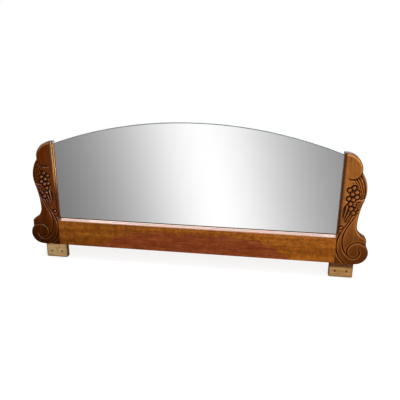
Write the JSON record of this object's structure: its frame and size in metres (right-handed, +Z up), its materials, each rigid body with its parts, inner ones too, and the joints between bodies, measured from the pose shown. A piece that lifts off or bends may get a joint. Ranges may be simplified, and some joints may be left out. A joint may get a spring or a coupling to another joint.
{
  "type": "carved wood mirror",
  "caption": "Wide dresser-top mirror: arched glass held by carved wooden cheeks with grapes, leaves and scrolls, a plain bottom rail and rear screw-on tongues.",
  "frame": {"origin": "middle of the bottom rail's underside, halfway through its thickness", "axes": "+X along the rail to the viewer's right, +Y from the front to the back, +Z up"},
  "size_m": [1.408, 0.057, 0.62],
  "materials": {
    "stained_wood": "brown stain under glossy lacquer",
    "raw_wood": "raw sawn softwood",
    "panel_board": "unfinished plywood",
    "slip_wood": "plain beech",
    "mirror_glass": "silvered float glass",
    "screw_steel": "plain steel"
  },
  "bodies": {
    "root": {"back_panel": "panel_board", "bottom_rail": "stained_wood", "left_cheek": "stained_wood", "left_panel_screws": "screw_steel", "left_rail_dowels": "slip_wood", "left_side_wedges": "slip_wood", "left_tongue": "raw_wood", "left_tongue_screws": "screw_steel", "mirror_glass": "mirror_glass", "rail_panel_screws": "screw_steel", "right_cheek": "stained_wood", "right_panel_screws": "screw_steel", "right_rail_dowels": "slip_wood", "right_side_wedges": "slip_wood", "right_tongue": "raw_wood", "right_tongue_screws": "screw_steel", "setting_blocks": "slip_wood"}
  },
  "joints": []
}
